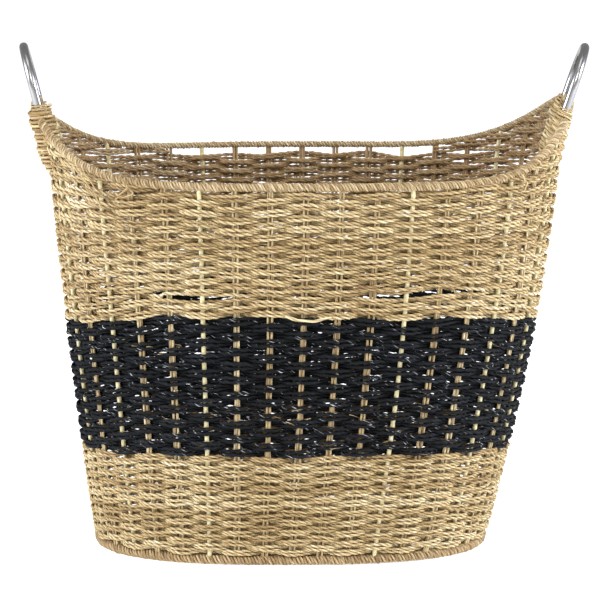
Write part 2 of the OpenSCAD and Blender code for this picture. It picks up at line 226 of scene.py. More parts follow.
# %% Seagrass
def seagrass(name, shades, crease_shade, painted_glints=None, rough=(0.5, 0.8), bump=0.6, shade=PAINTED_INNER_SHADE):
    """crease is painted shade, the colour in the groove between two plies; specks are painted
    highlights, pale glints on the glossy dye: where they start, how much they cover and their
    colour; and shade is painted shade: how far, and to what colour, the side that looks into the
    basket darkens."""
    finish = Finish(name)
    along, tone = finish.attribute("along"), finish.attribute("cord")
    ring = finish.attribute("ring", "Vector")
    parts = finish.node("ShaderNodeSeparateXYZ", None, {0: ring})
    across = Number(finish, parts.socket.node.outputs[1])

    def streaks(turns, per_metre, start):
        place = finish.node("ShaderNodeCombineXYZ", None, {
            0: parts * turns + tone * CORDS_APART, 1: across * turns,
            2: along * per_metre + start})
        return finish.noise(place, 1.0, 1.0)

    broad, fine = streaks(*BROAD), streaks(*FINE)
    patch = finish.noise(finish.node("ShaderNodeTexCoord", out="Object"), PATCHES, 0.0)
    mixed = (broad * BROAD_SHARE + fine * FINE_SHARE + patch * PATCH_SHARE
             + (tone - 0.5) * CORD_SHARE)
    colour = finish.node("ShaderNodeValToRGB", {"stops": shades},
                         {0: finish.spread(mixed, *SHADE_ENDS)})
    # Painted shade: the groove between two plies darkens, where shade would fall.
    crease_shade_mask = across * across
    colour = finish.mix(crease_shade_mask * crease_shade_mask * CREASE_SHADE_SHARE, colour, (*crease_shade, 1))
    # Painted shade: the side of a cord that looks into the basket darkens to the shade colour.
    if shade:
        colour = finish.mix(finish.facing_in() * shade[0], colour, (*shade[1], 1))
    # Painted highlights: pale glints along the glossy dyed cords.
    if painted_glints:
        glint_mask = finish.spread(streaks(*GLINT_STREAKS), painted_glints[0], painted_glints[0] + GLINT_EDGE)
        colour = finish.mix(glint_mask * painted_glints[1], colour, (*painted_glints[2], 1))
    finish.set(Base_Color=colour, Roughness=finish.spread(fine, *MOST_NOISE)
               * (rough[1] - rough[0]) + rough[0])
    finish.bump(broad * 0.5 + fine * 0.5, bump, STREAK_DEPTH)
    print(name, "has", len(finish.tree.nodes), "nodes")
    return finish


# %% [markdown]
# ## Five seagrass palettes
#
# Each palette runs from the dark of a fold to the pale of a dry leaf. The rim and the foot are
# wound with a browner grass, the stakes are golden, and the dyed band is nearly black, with pale
# flecks that are painted highlights, glints on its glossy dye. Wrappings show all round, so they
# get no painted shade inside.

# %% Palettes
STRAW = [(0.0, (0.20, 0.115, 0.038)), (0.28, (0.40, 0.270, 0.105)), (0.58, (0.60, 0.450, 0.215)),
         (0.84, (0.75, 0.615, 0.355)), (1.0, (0.84, 0.74, 0.50))]
INK = [(0.0, (0.0012, 0.0015, 0.002)), (0.5, (0.0022, 0.003, 0.004)),
       (0.85, (0.006, 0.009, 0.013)), (1.0, (0.026, 0.034, 0.046))]
GOLD = [(0.0, (0.28, 0.185, 0.075)), (0.4, (0.48, 0.360, 0.175)), (0.75, (0.64, 0.520, 0.290)),
        (1.0, (0.80, 0.70, 0.45))]
BROWNER = (0.80, 0.79, 0.84)
TAN = [(place, tuple(share * part for share, part in zip(BROWNER, shade)))
       for place, shade in STRAW]
DYE_SHINE = 0.17
# Each finish's third colour is the painted shade in the groove between two plies.
natural = seagrass("natural_seagrass", STRAW, (0.075, 0.036, 0.011))
# The dyed band's specks are painted highlights, pale glints on its glossy dye, and its shade is
# painted shade.
dyed = seagrass("dyed_seagrass", INK, (0.0008, 0.0008, 0.001),
                painted_glints=(0.715, 0.9, (0.62, 0.64, 0.68)), rough=(0.45, 0.7),
                shade=(0.5, (0.004, 0.004, 0.004)))
dyed.set(Specular_IOR_Level=DYE_SHINE)
golden = seagrass("golden_stakes", GOLD, (0.13, 0.068, 0.024), bump=0.4)
wound = seagrass("wound_seagrass", TAN, (0.10, 0.052, 0.019), shade=None)
bound = seagrass("bound_seagrass", STRAW, (0.12, 0.062, 0.022), shade=None)

# %% [markdown]
# ## Wire and steel
#
# The ribs are wire with a pale green coat, slightly mottled. The handles are brushed steel: metal
# with fine scratches along the tube that break up its shine. Plain grey would look like
# paint, so both finishes let a noise change their colour, roughness and bump.

# %% Coated wire
MOTTLES = 260.0
WIRE_ROUGH, MOTTLE_ROUGH = 0.35, 0.3
MOTTLE_BUMP, MOTTLE_DEPTH = 0.25, 0.4 * MM


def coated_wire(name, shades):
    finish = Finish(name)
    place = finish.node("ShaderNodeTexCoord", out="Object")
    mottle = finish.noise(place, MOTTLES, 3.0)
    finish.set(Base_Color=finish.node("ShaderNodeValToRGB", {"stops": shades},
                                      {0: finish.spread(mottle, *MOST_NOISE)}),
               Roughness=mottle * MOTTLE_ROUGH + WIRE_ROUGH)
    finish.bump(mottle, MOTTLE_BUMP, MOTTLE_DEPTH)
    return finish


# %% Brushed steel
SCRATCHES_ROUND, SCRATCHES_ALONG = 9.0, 25.0
SMEARS = 45.0
GREYS = [(0.0, (0.27, 0.27, 0.27)), (1.0, (0.42, 0.42, 0.415))]
STEEL_ROUGH, SCRATCH_ROUGH, SMEAR_ROUGH = 0.24, 0.05, 0.05
SCRATCH_BUMP, SCRATCH_DEPTH = 0.04, 0.02 * MM


def brushed_steel():
    finish = Finish("brushed_steel")
    parts = finish.node("ShaderNodeSeparateXYZ", None, {0: finish.attribute("ring", "Vector")})
    across = Number(finish, parts.socket.node.outputs[1])
    lines = finish.node("ShaderNodeCombineXYZ", None, {
        0: parts * SCRATCHES_ROUND, 1: across * SCRATCHES_ROUND,
        2: finish.attribute("along") * SCRATCHES_ALONG})
    brush = finish.noise(lines, 1.0, 2.0)
    smear = finish.noise(finish.node("ShaderNodeTexCoord", out="Object"), SMEARS, 1.0)
    finish.set(Base_Color=finish.node("ShaderNodeValToRGB", {"stops": GREYS},
                                      {0: finish.spread(brush, *MOST_NOISE)}),
               Metallic=1.0,
               Roughness=brush * SCRATCH_ROUGH + smear * SMEAR_ROUGH + STEEL_ROUGH)
    finish.bump(brush, SCRATCH_BUMP, SCRATCH_DEPTH)
    return finish


pale_wire = coated_wire("pale_rib_wire", [(0.0, (0.42, 0.35, 0.17)), (0.5, (0.60, 0.53, 0.29)),
                                          (1.0, (0.72, 0.66, 0.42))])
frame_wire = coated_wire("frame_wire", [(0.0, (0.10, 0.065, 0.035)), (1.0, (0.28, 0.20, 0.11))])
steel = brushed_steel()
print("finishes:", [material.name for material in bpy.data.materials])

# %% [markdown]
# ## A tree that twists a cord
#
# Every cord on the basket is the same idea: a path, and a profile with two rounded plies that
# turns as it goes. Geometry Nodes makes it once, and each group of cords is a curve object whose
# points carry their own radius and tilt. The result is turned into a plain mesh, because a
# finished piece carries no live modifier.

# %% One method for any node of a tree
def new_node(tree, kind, settings=None, values=None):
    made = tree.nodes.new(kind)
    for key, value in (settings or {}).items():
        setattr(made, key, value)
    for key, value in (values or {}).items():
        if isinstance(value, bpy.types.NodeSocket):
            tree.links.new(value, made.inputs[key])
        else:
            made.inputs[key].default_value = value
    return made


# %% The twisted cord tree
def cord_tree():
    tree = bpy.data.node_groups.new("Twisted cord", "GeometryNodeTree")
    for name, kind in (("Geometry", "Geometry"), ("Sides", "Int"), ("Groove", "Float"),
                       ("Seed", "Int"), ("Finish", "Material")):
        tree.interface.new_socket(name, in_out="INPUT", socket_type="NodeSocket" + kind)
    tree.interface.new_socket("Geometry", in_out="OUTPUT", socket_type="NodeSocketGeometry")
    given = tree.nodes.new("NodeGroupInput").outputs

    def maths(operation, a, b):
        return new_node(tree, "ShaderNodeMath", {"operation": operation}, {0: a, 1: b}).outputs[0]

    def keep(geometry, name, kind, value):
        return new_node(tree, "GeometryNodeStoreNamedAttribute", {"data_type": kind},
                        {"Geometry": geometry, "Name": name, "Value": value}).outputs[0]

    circle = new_node(tree, "GeometryNodeCurvePrimitiveCircle", None,
                      {"Resolution": given["Sides"], "Radius": 1.0}).outputs[0]
    place = tree.nodes.new("GeometryNodeInputPosition").outputs[0]
    ringed = keep(circle, "ring", "FLOAT_VECTOR", place)
    y = new_node(tree, "ShaderNodeSeparateXYZ", None, {0: place}).outputs[1]
    pinch = maths("SUBTRACT", 1.0, maths("MULTIPLY", given["Groove"], maths("MULTIPLY", y, y)))
    pinched = new_node(tree, "ShaderNodeVectorMath", {"operation": "SCALE"},
                       {0: place, "Scale": pinch}).outputs[0]
    profile = new_node(tree, "GeometryNodeSetPosition", None,
                       {"Geometry": ringed, "Position": pinched}).outputs[0]

    length = tree.nodes.new("GeometryNodeSplineParameter").outputs["Length"]
    paths = keep(given["Geometry"], "along", "FLOAT", length)
    which = tree.nodes.new("GeometryNodeCurveOfPoint").outputs["Curve Index"]
    chance = new_node(tree, "FunctionNodeRandomValue", {"data_type": "FLOAT"},
                      {"ID": which, "Seed": given["Seed"]}).outputs[1]
    paths = keep(paths, "cord", "FLOAT", chance)
    radius = tree.nodes.new("GeometryNodeInputRadius").outputs[0]
    tube = new_node(tree, "GeometryNodeCurveToMesh", None,
                    {"Curve": paths, "Profile Curve": profile, "Scale": radius,
                     "Fill Caps": True}).outputs[0]
    smooth = new_node(tree, "GeometryNodeSetShadeSmooth", None, {"Geometry": tube}).outputs[0]
    real = new_node(tree, "GeometryNodeRealizeInstances", None, {"Geometry": smooth}).outputs[0]
    done = new_node(tree, "GeometryNodeSetMaterial", None,
                    {"Geometry": real, "Material": given["Finish"]}).outputs[0]
    tree.links.new(done, tree.nodes.new("NodeGroupOutput").inputs[0])
    return tree


CORD = cord_tree()
print("the cord tree has", len(CORD.nodes), "nodes")


# %% From a tree to a plain mesh
def turned_to_mesh(source, tree, values, name):
    """Runs a tree on an object, and keeps the result as a plain mesh object."""
    modifier = source.modifiers.new("tree", "NODES")
    modifier.node_group = tree
    for item in tree.interface.items_tree:
        if item.in_out == "INPUT" and item.name in values:
            modifier[item.identifier] = values[item.name]
    graph = bpy.context.evaluated_depsgraph_get()
    mesh = bpy.data.meshes.new_from_object(source.evaluated_get(graph), depsgraph=graph)
    mesh.name = name
    piece = bpy.data.objects.new(name, mesh)
    bpy.context.collection.objects.link(piece)
    bpy.data.objects.remove(source)
    return piece


# %% Lay a group of cords
triangles = {}
# The profiles of a wound strand and of a plain wire, where a weft cord has the default one.
STRAND = {"sides": 6, "groove": 0.2, "upright": "MINIMUM"}
PLAIN = {"sides": 12, "groove": 0.0, "upright": "MINIMUM"}


def lay_cords(name, paths, finish, slot, replaced, sides=8, groove=0.35, closed=False,
              upright="Z_UP", seed=1):
    """Makes one piece from a list of (points, radii, tilts)."""
    curve = bpy.data.curves.new(name + "_paths", "CURVE")
    curve.dimensions, curve.twist_mode = "3D", upright
    for points, radii, tilts in paths:
        spline = curve.splines.new("POLY")
        spline.points.add(len(points) - 1)
        spline.points.foreach_set("co", np.c_[points, np.ones(len(points))].ravel())
        spline.points.foreach_set("radius", np.broadcast_to(radii, len(points)).astype(float))
        spline.points.foreach_set("tilt", np.broadcast_to(tilts, len(points)).astype(float))
        spline.use_cyclic_u = closed
    source = bpy.data.objects.new(name + "_paths", curve)
    bpy.context.collection.objects.link(source)
    piece = turned_to_mesh(source, CORD, {"Sides": sides, "Groove": groove, "Seed": seed,
                                          "Finish": finish.material}, name)
    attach(piece, "root")
    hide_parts(*replaced)
    triangles[name] = sum(len(p.vertices) - 2 for p in piece.data.polygons)
    print(name, "has", len(paths), "cords and", triangles[name], "triangles")
    return piece


# %% [markdown]
# ## The shape of the wall
#
# The wall is a rounded rectangle that grows and shifts from the foot to the rim. Its sizes are read
# back from the boxes of the CAD nodes, and the same rule then gives any point of the wall, at an
# angle, a height and a depth below its face.

# %% Sizes from the frame
# The wall's thickness, how far its sides bow out, and how square its outline is.
WALL, BOW, SQUARE = 10 * MM, 4.5 * MM, 2.6
MIDDLE = WALL / 2
# How the foot's shift dies away upwards, and how far and where the rows sink towards the ends.
SHIFT_POWER = 1.7
SINK, SINK_POWER, ROW_GAP = 0.09, 4, 0.4 * MM
# Where the rim climbs to the ears, as shares of the half depth, and how steeply.
CLIMB_START, CLIMB_END, CLIMB_POWER = 0.95, 0.22, 1.15
# How far the ears and the handles lean out, on the left and on the right.
FLARE = {-1: math.radians(16), 1: math.radians(13)}
LEAN = {-1: math.radians(14), 1: math.radians(18.5)}
HANDLE_TWIST = math.radians(3)
LEG_APART, LEG_DEPTH, HANDLE_REACH, TUBE_R = 73 * MM, 58 * MM, 55.5 * MM, 4 * MM
LIFT = 15 * MM  # how far the rows rise with the rim at the ears
UPRIGHTS = 40
HALF_WAY, QUARTER = UPRIGHTS // 2, UPRIGHTS // 4

foot_low, foot_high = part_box("base_wrap")
weave_low, weave_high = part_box("upper_weave")
WRAP_R = (foot_high.z - foot_low.z) / 2
RIM_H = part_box("front_rim_wrap")[0].z + WRAP_R
EAR_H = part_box("left_ear_wrap")[1].z - WRAP_R
WEAVE_TOP = weave_high.z
FOOT_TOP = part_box("lower_weave")[0].z
BAND_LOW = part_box("lower_weave")[1].z + ROW_GAP / 2
BAND_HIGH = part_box("dark_band_weave")[1].z + ROW_GAP / 2


def bowed(z):
    """How far the wall stands out of a straight slope: most half way up, and none at the rim."""
    share = np.minimum(z / RIM_H, 1)
    return 4 * BOW * share * (1 - share)


def solved(axis):
    """The size at the foot and at the rim, from the boxes of two nodes."""
    low = foot_high[axis] - foot_low[axis] + 2 * (MIDDLE - WRAP_R) - 2 * bowed(WRAP_R)
    high = weave_high[axis] - weave_low[axis] - 2 * bowed(WEAVE_TOP)
    grow = (high - low) / ((WEAVE_TOP - WRAP_R) / RIM_H)
    foot = low - grow * WRAP_R / RIM_H
    return foot, foot + grow


FOOT_LENGTH, RIM_LENGTH = solved(0)
FOOT_DEPTH, RIM_DEPTH = solved(1)
RIM_X = (weave_low.x + weave_high.x) / 2
FOOT_SHIFT = RIM_X - (foot_low.x + foot_high.x) / 2
print("foot", round(FOOT_LENGTH, 4), round(FOOT_DEPTH, 4), "rim", round(RIM_LENGTH, 4),
      round(RIM_DEPTH, 4), "height", round(RIM_H, 4), "ear", round(EAR_H, 4))


# %% Any point of the wall
def plan(psi):
    """A rounded rectangle of half sizes 1, at an angle."""
    c, s = np.cos(psi), np.sin(psi)
    m = (np.abs(c) ** SQUARE + np.abs(s) ** SQUARE) ** (1 / SQUARE)
    return c / m, s / m


def wall_point(psi, z, depth=MIDDLE):
    """Points of the wall in metres, one row each, from arrays or numbers."""
    psi, z, depth = np.broadcast_arrays(np.asarray(psi, float), z, depth)
    x, y = plan(psi)
    share = np.minimum(z / RIM_H, 1)
    flare = np.where(x < 0, math.tan(FLARE[-1]), math.tan(FLARE[1]))
    a = (FOOT_LENGTH + (RIM_LENGTH - FOOT_LENGTH) * share) / 2 + bowed(z)
    a = a + np.maximum(z - RIM_H, 0) * flare
    b = (FOOT_DEPTH + (RIM_DEPTH - FOOT_DEPTH) * share) / 2 + bowed(z)
    out = np.stack([np.sign(x) * np.abs(x) ** (SQUARE - 1) / a,
                    np.sign(y) * np.abs(y) ** (SQUARE - 1) / b], -1)
    out /= np.linalg.norm(out, axis=-1, keepdims=True)
    middle = RIM_X - FOOT_SHIFT * (1 - share) ** SHIFT_POWER
    return np.stack([middle + a * x - depth * out[..., 0], b * y - depth * out[..., 1], z], -1)


# %% The places of the uprights
TURN_STEP = 2.0
around = np.radians(np.arange(-90, 271, TURN_STEP))
line = wall_point(around, (BAND_LOW + BAND_HIGH) / 2)
lengths = np.r_[0, np.cumsum(np.linalg.norm(np.diff(line, axis=0), axis=1))]
PITCH = lengths[-1] / UPRIGHTS


def angle_at(k):
    """The angle of an upright's number: 0 is the middle of the front, 10 the right end."""
    k = np.asarray(k, float)
    turn = np.floor(k / UPRIGHTS)
    return np.interp(k - turn * UPRIGHTS, lengths / PITCH, around) + 2 * np.pi * turn


def smooth(t):
    """0 below 0, 1 above 1, and a soft step between."""
    t = np.clip(t, 0, 1)
    return t * t * (3 - 2 * t)


def row_height(z, psi):
    """A row that lies at z along the front sinks towards the ends."""
    return FOOT_TOP + (z - FOOT_TOP) * (1 - SINK * np.abs(plan(psi)[0]) ** SINK_POWER)


# %% The climb of the rim
# How the hand-bent rim climbs at each corner, by the signs of y and x: where it starts and ends as
# shares of the half depth, its power, and how far below the ear's top it meets the leg.
CORNERS = {(-1, -1): (0.99, 0.05, 1.15, 0.0), (-1, 1): (0.93, 0.05, 1.15, 0.0),
           (1, -1): (0.95, 0.12, 1.0, 11 * MM), (1, 1): (0.99, 0.22, 0.8, 0.0)}


def climb(across, start, end, power, drop=0.0):
    """The rim's height where it is a share across of the half depth from the basket's middle."""
    rise = smooth((start - np.abs(across)) / (start - end)) ** power
    return RIM_H + (EAR_H - drop - RIM_H) * rise


def rim_z(psi):
    """The height of the rim's middle line at an angle."""
    x, y = plan(psi)
    height = climb(y, CLIMB_START, CLIMB_END, CLIMB_POWER)
    outside = np.abs(wall_point(psi, EAR_H)[..., 1]) > LEG_APART / 2
    for (front, end), shape in CORNERS.items():
        here = outside & (np.sign(y) == front) & (np.sign(x) == end)
        height = np.where(here, climb(y, *shape), height)
    return height


def lift(psi):
    """How far the rows near an ear rise with the rim."""
    return LIFT * (rim_z(psi) - RIM_H) / (EAR_H - RIM_H)


EAR_PITCH = abs(wall_point(angle_at(QUARTER + 1), EAR_H)[1])
LEG_STEPS = LEG_APART / 2 / EAR_PITCH
print("uprights are", round(PITCH * 1000, 1), "mm apart")

# %% [markdown]
# ## Where the rows run
#
# A row of weft passes in front of one upright and behind the next, and the row above does the
# opposite. So its path is the wall's outline with a wave added: out at one upright, in at the next.
# Handmade rows also drift up and down together, and open in a few places like a lens.

# %% Drift and gaps
chance = np.random.default_rng(7)
ANY_START = 6.3  # a full turn, for the start of a wave
DRIFT_COUNT, SMALL_LENSES = 14, 90
DRIFTS = [(int(chance.integers(2, 16)), chance.uniform(4, 14), chance.uniform(0, ANY_START),
           chance.uniform(0.15, 0.42) * MM) for _ in range(DRIFT_COUNT)]
# Number round the wall, height, half width in steps, and how far the rows part.
LENSES = [(-3.35, BAND_HIGH + 17 * MM, 1.15, 5.6 * MM), (3.2, BAND_HIGH + 19 * MM, 1.5, 5.2 * MM)]
BIG_LENS, LENS_REACH, LENS_FADE = 2 * MM, 26 * MM, 9 * MM
# Drift fades within these heights, so that the first and the last rows stay level.
FOOT_CALM, TOP_CALM, OVER_TOP = 14 * MM, 16 * MM, 12 * MM
for _ in range(SMALL_LENSES):
    LENSES.append((chance.uniform(0, UPRIGHTS),
                   chance.uniform(FOOT_TOP + 6 * MM, WEAVE_TOP),
                   chance.uniform(0.25, 0.7), chance.uniform(0.4, 1.3) * MM))
print(len(DRIFTS), "drifting waves and", len(LENSES), "gaps between rows")


def drift(k, z):
    """How far the rows at height z have moved up, at number k."""
    up = sum(size * np.sin(2 * np.pi * n * k / UPRIGHTS + rise * z * ANY_START + start)
             for n, rise, start, size in DRIFTS)
    for centre, height, half, opening in LENSES:
        if opening < BIG_LENS and np.all(np.abs(z - height) > LENS_REACH):
            continue
        away = (k - centre + HALF_WAY) % UPRIGHTS - HALF_WAY
        near = np.exp(-(away / half) ** 2) * np.exp(-np.abs(z - height) / LENS_FADE)
        up = up + np.sign(z - height) * opening / 2 * near
    ends = smooth((z - FOOT_TOP) / FOOT_CALM) * smooth((WEAVE_TOP + OVER_TOP - z) / TOP_CALM)
    return up * ends


def wobble(k, size, waves=7):
    """A smooth random wave round the wall, that meets itself."""
    total = 0
    for _ in range(waves):
        n = int(chance.integers(5, 60))
        total = total + np.sin(2 * np.pi * n * k / UPRIGHTS + chance.uniform(0, ANY_START))
    return total * size / math.sqrt(waves / 2)


# %% The wave of a row
# The numbers of the uprights. The two beside each ear's middle stand where the handle's legs are.
turns_of = np.arange(-UPRIGHTS, 2 * UPRIGHTS + 1)
from_end = turns_of % HALF_WAY - QUARTER
places = turns_of + np.where(np.abs(from_end) == 1, np.sign(from_end) * (LEG_STEPS - 1), 0)
FLATTER = 0.22  # flattens the wave's tops, where a cord lies on its upright


def swing(k, row):
    """1 where the row is outside an upright, and -1 where it is inside."""
    wave = np.cos(np.pi * (np.interp(k, places, turns_of) + row))
    return wave * (1 + FLATTER - FLATTER * wave * wave)


# %% The path of one cord
RING_STEP, IN_OUT = 1.9 * MM, 3.3 * MM
UP_WOBBLE, OUT_WOBBLE, THICK_WOBBLE = 0.24 * MM, 0.22 * MM, 0.07
BACK_HALF, BACK_FADE = 8.5, 2.0  # in steps between uprights
BACK_SWELL, SWELL_START, SWELL_FADE = 0.02, 50 * MM, 30 * MM


def behind(k):
    """1 along the back of the wall, falling to 0 at its ends."""
    return smooth((BACK_HALF - np.abs(k % UPRIGHTS - HALF_WAY)) / BACK_FADE)


def weft_path(row, k, z, radius, lay):
    """Points, radii and tilts of a cord of a row, at numbers k and heights z."""
    psi = angle_at(k)
    z = z + wobble(k, UP_WOBBLE)
    depth = MIDDLE - IN_OUT * swing(k, row) - wobble(k, OUT_WOBBLE)
    points = wall_point(psi, z, depth)
    swell = smooth((z - WEAVE_TOP + SWELL_START) / SWELL_FADE) * behind(k)
    radii = radius * (1 + wobble(k, THICK_WOBBLE) + BACK_SWELL * swell)
    run = np.r_[0, np.cumsum(np.linalg.norm(np.diff(points, axis=0), axis=1))]
    turns = max(1, round(run[-1] / lay))
    return points, radii, 2 * np.pi * turns * run / (run[-1] + run[1])


WAVY = 1.06  # a woven cord's length over the wall's


def closed_row(row, height, radius, lay, part=0.0):
    """A cord all round the wall. height gives its z at a number k, and part says how far the pair
    of cords spreads where it passes outside an upright, up or down."""
    count = int(lengths[-1] * WAVY / RING_STEP)
    k = np.arange(count) * UPRIGHTS / count
    return weft_path(row, k, height(k) + part * swing(k, row), radius, lay)


# %% [markdown]
# ## Three bands of weft
#
# Each row is a pair of thin cords laid together. The lower and upper bands are natural and the
# middle one is dyed. The bands sink towards the ends, as the rows of the real wall do. A band is
# cut into a few pieces, so that none is too heavy to export.

# %% Lay the bands
ROWS = {"lower": 20, "dark": 19, "upper": 22}
EDGES = {"lower": (lambda p: FOOT_TOP + 0 * p, lambda p: row_height(BAND_LOW, p)),
         "dark": (lambda p: row_height(BAND_LOW, p), lambda p: row_height(BAND_HIGH, p)),
         "upper": (lambda p: row_height(BAND_HIGH, p), lambda p: WEAVE_TOP + lift(p))}
CORD_R = {"lower": 1.65 * MM, "dark": 2.15 * MM, "upper": 1.80 * MM}
HALVES, SPREAD = (0.25, 0.75), 1.6 * MM  # where the two cords of a row lie, and how they part
THINNEST, THICKEST = 0.93, 1.07
SAG, SAG_ROWS, SAG_MEAN, SAG_WAVE = 3.6 * MM, 34 * MM, 0.75, 0.45
DIP, DIP_ROWS, DIP_AT, DIP_HALF = 6.0 * MM, 26 * MM, -5.2, 1.1
LAY = {"lower": 14 * MM, "dark": 16 * MM, "upper": 15 * MM}


def back_sag(k, z):
    """The last rows at the back stop short of the rim and hang away from it in waves."""
    last = smooth((z - WEAVE_TOP + SAG_ROWS) / SAG_ROWS)
    wave = SAG_MEAN + SAG_WAVE * np.sin(k * 1.9 + 1.0) * np.sin(k * 0.83)
    return -SAG * behind(k) * last * wave


def front_dip(k, z):
    """Near the front's left corner the last rows were packed down, and leave a gap."""
    here = np.exp(-(((k - DIP_AT + HALF_WAY) % UPRIGHTS - HALF_WAY) / DIP_HALF) ** 2)
    return -DIP * here * smooth((z - WEAVE_TOP + DIP_ROWS) / DIP_ROWS)


def band_heights(band, share):
    low, high = EDGES[band]

    def height(k):
        psi = angle_at(k)
        z = low(psi) + (high(psi) - low(psi)) * share
        return z + drift(k, z) + back_sag(k, z) + front_dip(k, z)

    return height


first_row = 0
for band, rows in ROWS.items():
    finish, slot = (dyed, "dark_weave") if band == "dark" else (natural, "natural_weave")
    node = "dark_band_weave" if band == "dark" else band + "_weave"
    cords = []
    for row in range(rows):
        for half in HALVES:
            cords.append(closed_row(first_row + row, band_heights(band, (row + half) / rows),
                                    CORD_R[band] * chance.uniform(THINNEST, THICKEST), LAY[band],
                                    (half - 0.5) * SPREAD))
    third = math.ceil(rows / 3) * 2
    for part, name in enumerate(("low", "middle", "high")):
        lay_cords(f"{band}_weft_{name}", cords[part * third:(part + 1) * third], finish, slot,
                  [node], closed=True, seed=first_row + part)
    first_row += rows

# %% [markdown]
# ## Uprights
#
# Sixteen of the forty uprights are single wires and the others are pairs of seagrass stakes. They
# run in the middle of the wall, so the weft hides half of each, and end under the rim's wrapping.
# All follow the wall, so nothing is bent by hand: one function makes any of them from its number.

# %% Uprights
RIBS = (3, 6, 8, 9, 11, 12, 14, 17)
RIB_R, RIB_LEAN = 2.0 * MM, 0.25 * MM
EAR_RIB_R, EAR_RIB_IN = 1.6 * MM, 1.2 * MM
STAKE_R, STAKE_APART, STAKE_LEAN, STAKE_TWIST = 1.5 * MM, 1.45 * MM, 0.3 * MM, 38
STAKE_LUMPS, LUMP_WAVE = 0.08, 190
LEAN_WAVE = 9
LOW_END, LAST_ROOM, UP_STEP = 4 * MM, 2 * MM, 3 * MM  # where their points start, end and lie


def along_wall(psi):
    step = wall_point(psi + 0.01, BAND_LOW, 0) - wall_point(psi - 0.01, BAND_LOW, 0)
    return step / np.linalg.norm(step)


def outward(psi):
    step = wall_point(psi, BAND_LOW, 0) - wall_point(psi, BAND_LOW, MIDDLE)
    return step / np.linalg.norm(step)


def by_ear(k):
    """The uprights beside the middle of an ear stop below it, where the handle's legs go in."""
    return abs(k % HALF_WAY - QUARTER) == 1


def upright(k, sideways=0.0, lean=0.0):
    """Points from the foot to the middle of the rim, and the distance along them."""
    psi = float(angle_at(places[k + UPRIGHTS]))
    top = WEAVE_TOP if by_ear(k) else float(rim_z(psi))
    z = np.append(np.arange(LOW_END, top - LAST_ROOM, UP_STEP), top)
    points = wall_point(psi, z)
    aside = sideways + lean * np.sin(z / RIM_H * LEAN_WAVE + k)
    points = points + along_wall(psi) * aside[:, None]
    run = np.r_[0, np.cumsum(np.linalg.norm(np.diff(points, axis=0), axis=1))]
    return points, run


stakes, wires = [], []
for k in range(UPRIGHTS):
    if k % HALF_WAY in RIBS:
        points, _ = upright(k, lean=RIB_LEAN)
        if by_ear(k):
            points = points - outward(angle_at(float(k))) * EAR_RIB_IN
        wires.append((points, EAR_RIB_R if by_ear(k) else RIB_R, 0.0))
        continue
    for side in (-1, 1):
        points, run = upright(k, side * STAKE_APART, STAKE_LEAN * side)
        lumps = STAKE_LUMPS * np.sin(run * LUMP_WAVE + chance.uniform(0, 6))
        stakes.append((points, STAKE_R * (1 + lumps),
                       run * STAKE_TWIST * side + chance.uniform(0, 3)))
lay_cords("stake_pairs", stakes, golden, "stakes",
          ["front_stakes", "back_stakes", "left_stakes", "right_stakes"], groove=0.22,
          upright="MINIMUM", seed=31)
rib_nodes = [f"{side}_rib_{n}" for side in ("front", "back") for n in range(1, 7)]
rib_nodes += [f"{end}_{side}_rib" for end in ("left", "right") for side in ("front", "back")]
lay_cords("rib_wires", wires, pale_wire, "rib_wire", rib_nodes, seed=32, **PLAIN)

# %% [markdown]
# ## Ears
#
# The ears are woven on above the body in three panels: one on each side of the handle's legs and
# one between them. Rows that the rim cut off would have open ends, so each row stops where the
# climbing rim comes down to it.

# %% Weave the ears
LEG_GAP = 6.0 * MM / EAR_PITCH
ear_fine = np.linspace(0, 6, 400)
EAR_ROW, UNDER_RIM = 6.0 * MM, 2.4 * MM
FIRST_ROW, TOP_ROOM = 0.3 * EAR_ROW, 2.6 * MM
SHORTEST = 0.25  # in steps between uprights
CALMER = 0.5  # the ears' short rows drift less than the wall's


def ear_row_height(level, k):
    """A row of an ear: it starts from the lifted edge of the wall and levels out at the top."""
    left = (EAR_H - level) / (EAR_H - WEAVE_TOP)
    return level + lift(angle_at(k)) * left


def ear_reach(level, centre, way):
    """How far a row runs from the ear's middle before the rim comes down to it."""
    k = centre + way * ear_fine
    room = rim_z(angle_at(k)) - UNDER_RIM - ear_row_height(level, k)
    blocked = np.nonzero((room < 0) & (ear_fine > LEG_STEPS))[0]
    return ear_fine[blocked[0]] if len(blocked) else ear_fine[-1]


for side, name in ((-1, "left"), (1, "right")):
    centre = QUARTER * (2 - side)
    cords, z, row = [], WEAVE_TOP + FIRST_ROW, first_row
    while z < EAR_H - TOP_ROOM:
        for half in (-0.25, 0.25):
            level = z + half * EAR_ROW
            inner, outer = LEG_STEPS - LEG_GAP, LEG_STEPS + LEG_GAP
            for a, b in ((-ear_reach(level, centre, -1), -outer), (-inner, inner),
                         (outer, ear_reach(level, centre, 1))):
                if b - a < SHORTEST:
                    continue
                k = centre + np.linspace(a, b, max(4, int((b - a) * EAR_PITCH / RING_STEP)))
                height = ear_row_height(level, k) + drift(k, level + 0 * k) * CALMER
                cords.append(weft_path(row, k, height,
                                       CORD_R["upper"] * chance.uniform(THINNEST, THICKEST),
                                       LAY["upper"]))
        z, row = z + EAR_ROW, row + 1
    lay_cords(f"{name}_ear_weft", cords, natural, "natural_weave", [f"{name}_ear_weave"],
              seed=40 + side)

# %% [markdown]
# ## Wrapped edges
#
# Three strands are wound side by side round the rim wire and the foot wire. A strand is a helix
# round the edge's own path, so its path is worked out point by point and given to the same tree.

# %% Wind strands round a path
TAPER_LENGTH = 4 * MM
RAGGED_WAVES, RAGGED = (90, 700), 0.06
BULGE, BULGE_WAVE = 0.10, 310
PLY_TURN = 0.6  # how far a strand's own plies turn while it goes round once


